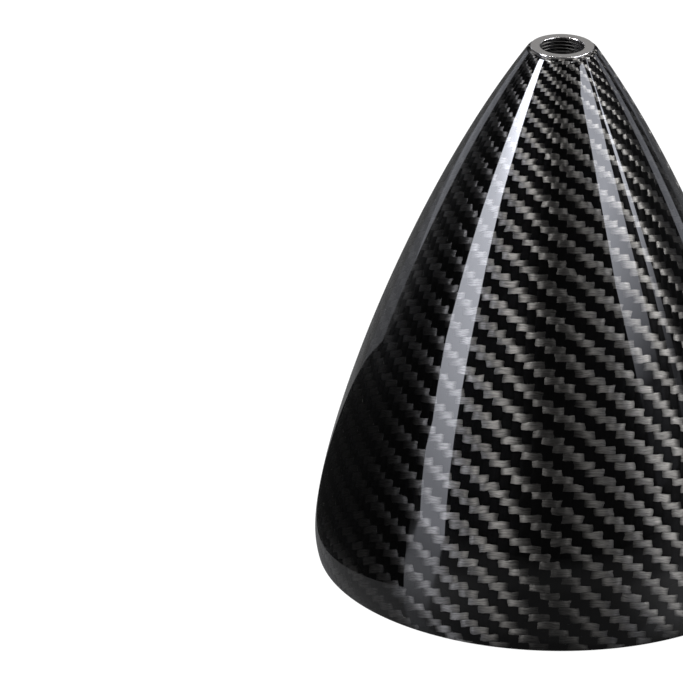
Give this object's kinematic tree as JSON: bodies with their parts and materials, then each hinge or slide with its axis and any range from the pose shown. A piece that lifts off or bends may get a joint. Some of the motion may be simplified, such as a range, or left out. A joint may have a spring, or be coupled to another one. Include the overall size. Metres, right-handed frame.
{
  "type": "propeller spinner",
  "caption": "Pointed carbon propeller spinner with a threaded metal nose, a recessed machined backplate, a centre post and one long screw that holds the cone down.",
  "frame": {"origin": "on the spinner's axis, in the plane of the cone's open edge", "axes": "+Z along the axis from the open edge to the nose; +X through one drive pin and one propeller bolt hole"},
  "size_m": [0.127, 0.127, 0.146],
  "materials": {
    "carbon_twill": "clear-coated carbon twill laminate",
    "polished_aluminium": "turned and polished",
    "machined_aluminium": "machined, fine turning marks",
    "plain_steel": "ground",
    "black_steel": "black oxide",
    "black_rubber": "matte",
    "white_plastic": "satin nylon"
  },
  "bodies": {
    "root": {"cone_shell": "carbon_twill", "rim_ring": "machined_aluminium", "backplate": "machined_aluminium", "drive_pins": "plain_steel", "centre_post": "machined_aluminium", "post_screws": "black_steel", "pilot_reducer": "machined_aluminium", "thread_insert": "plain_steel", "nose_bush": "polished_aluminium", "nose_collar": "machined_aluminium", "nose_nut": "machined_aluminium", "centre_screw": "black_steel", "seat_washer": "plain_steel", "screw_o_ring": "black_rubber", "screw_keeper": "white_plastic"}
  },
  "joints": []
}
